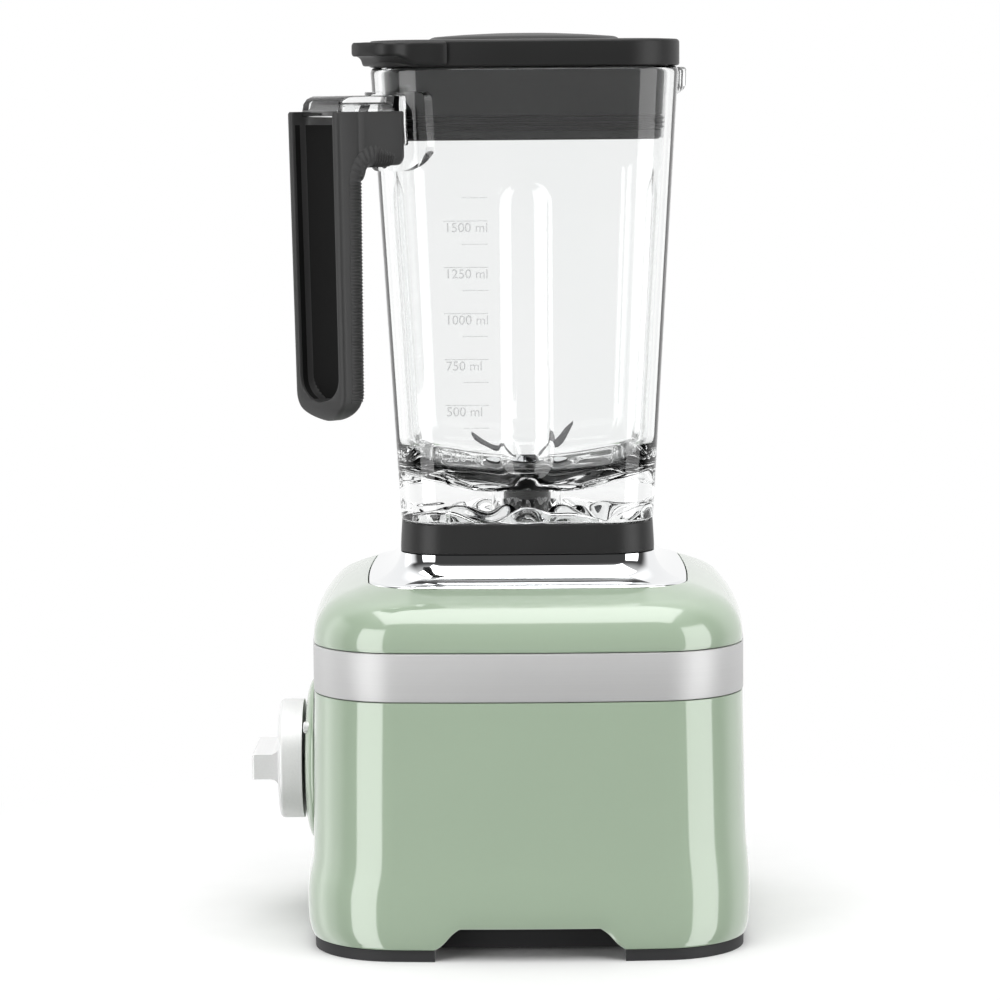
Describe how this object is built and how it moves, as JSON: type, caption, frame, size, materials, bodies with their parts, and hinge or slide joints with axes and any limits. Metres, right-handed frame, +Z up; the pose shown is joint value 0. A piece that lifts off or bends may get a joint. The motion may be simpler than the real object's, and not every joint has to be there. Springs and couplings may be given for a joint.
{
  "type": "countertop blender",
  "caption": "Square-bodied countertop blender with a round front speed dial, tapered clear jar with a corner handle, and a lid with a lift-out centre cap.",
  "frame": {"origin": "on the vertical drive axis, at the level of the feet's undersides", "axes": "+Z up along the drive axis; the speed dial faces -Y; the handle points along +X -Y and the pouring spout along -X +Y"},
  "size_m": [0.2107, 0.2414, 0.43],
  "materials": {
    "body_enamel": "glossy enamel",
    "band_aluminium": "brushed, clear coat",
    "skirt_chrome": "polished",
    "damping_rubber": "matte",
    "base_plastic": "fine grain",
    "foot_rubber": "matte",
    "screw_steel": "machined",
    "knob_satin": "satin",
    "board_laminate": "solder mask",
    "motor_steel": "laminated",
    "copper_winding": "enamelled copper wire",
    "carbon": "pressed carbon",
    "brush_brass": "stamped",
    "fan_plastic": "moulded",
    "coupler_metal": "machined",
    "jar_glass": "clear",
    "collar_plastic": "satin",
    "handle_plastic": "satin soft grip",
    "blade_steel": "ground edge",
    "hub_steel": "polished",
    "lid_plastic": "satin",
    "seal_rubber": "soft",
    "bush_bronze": "sintered",
    "gland_rubber": "matte"
  },
  "bodies": {
    "base": {"lower_housing": "body_enamel", "top_shell": "body_enamel", "dial_bezel": "body_enamel", "trim_band": "band_aluminium", "jar_pad": "skirt_chrome", "damping_mat": "damping_rubber", "bottom_cover": "base_plastic", "feet": "foot_rubber", "cover_screws": "screw_steel", "motor_mounts": "foot_rubber", "lower_bearing": "screw_steel", "upper_bearing": "screw_steel", "lower_bracket": "motor_steel", "upper_bracket": "motor_steel", "motor_bolts": "screw_steel", "motor_stator": "motor_steel", "field_windings": "copper_winding", "carbon_brushes": "carbon", "brush_holders": "brush_brass", "speed_encoder": "screw_steel", "control_board": "board_laminate", "start_switch": "base_plastic", "cord_gland": "gland_rubber"},
    "rotor": {"motor_shaft": "coupler_metal", "armature_core": "motor_steel", "armature_windings": "copper_winding", "commutator": "brush_brass", "cooling_fan": "fan_plastic", "drive_coupler": "coupler_metal"},
    "dial": {"dial_knob": "knob_satin", "dial_shaft": "screw_steel"},
    "button": {"start_button": "knob_satin"},
    "jar": {"glass_jar": "jar_glass", "jar_collar": "collar_plastic", "handle_grip": "handle_plastic", "blade_housing": "hub_steel", "floor_gasket": "seal_rubber", "retaining_nut": "collar_plastic", "spindle_bushings": "bush_bronze", "spindle_seal": "seal_rubber"},
    "blades": {"blade_spindle": "hub_steel", "lower_blades": "blade_steel", "upper_blades": "blade_steel", "blade_cap": "hub_steel", "jar_coupler": "coupler_metal"},
    "lid": {"lid_body": "lid_plastic", "lid_seal": "seal_rubber"},
    "cap": {"centre_cap": "lid_plastic"}
  },
  "joints": [
    {"name": "motor_spin", "type": "hinge", "parent": "base", "child": "rotor", "pos_m": [0, 0, 0.1], "axis": [0, 0, 1], "continuous": true},
    {"name": "dial_turn", "type": "hinge", "parent": "base", "child": "dial", "pos_m": [0, -0.11, 0.079], "axis": [0, -1, 0], "range_deg": [-150, 150]},
    {"name": "start_press", "type": "slide", "parent": "base", "child": "button", "axis": [0, 1, 0], "range_m": [0, 0.0012], "stiffness_N_per_m": 800},
    {"name": "jar_lift", "type": "slide", "parent": "base", "child": "jar", "axis": [0, 0, 1], "range_m": [0, 0.26]},
    {"name": "blade_spin", "type": "hinge", "parent": "jar", "child": "blades", "pos_m": [0, 0, 0.2], "axis": [0, 0, 1], "continuous": true},
    {"name": "lid_lift", "type": "slide", "parent": "jar", "child": "lid", "axis": [0, 0, 1], "range_m": [0, 0.12]},
    {"name": "cap_lift", "type": "slide", "parent": "lid", "child": "cap", "axis": [0, 0, 1], "range_m": [0, 0.06]}
  ],
  "couplings": [
    {"joint": "blade_spin", "follows": "motor_spin", "ratio": 1}
  ]
}
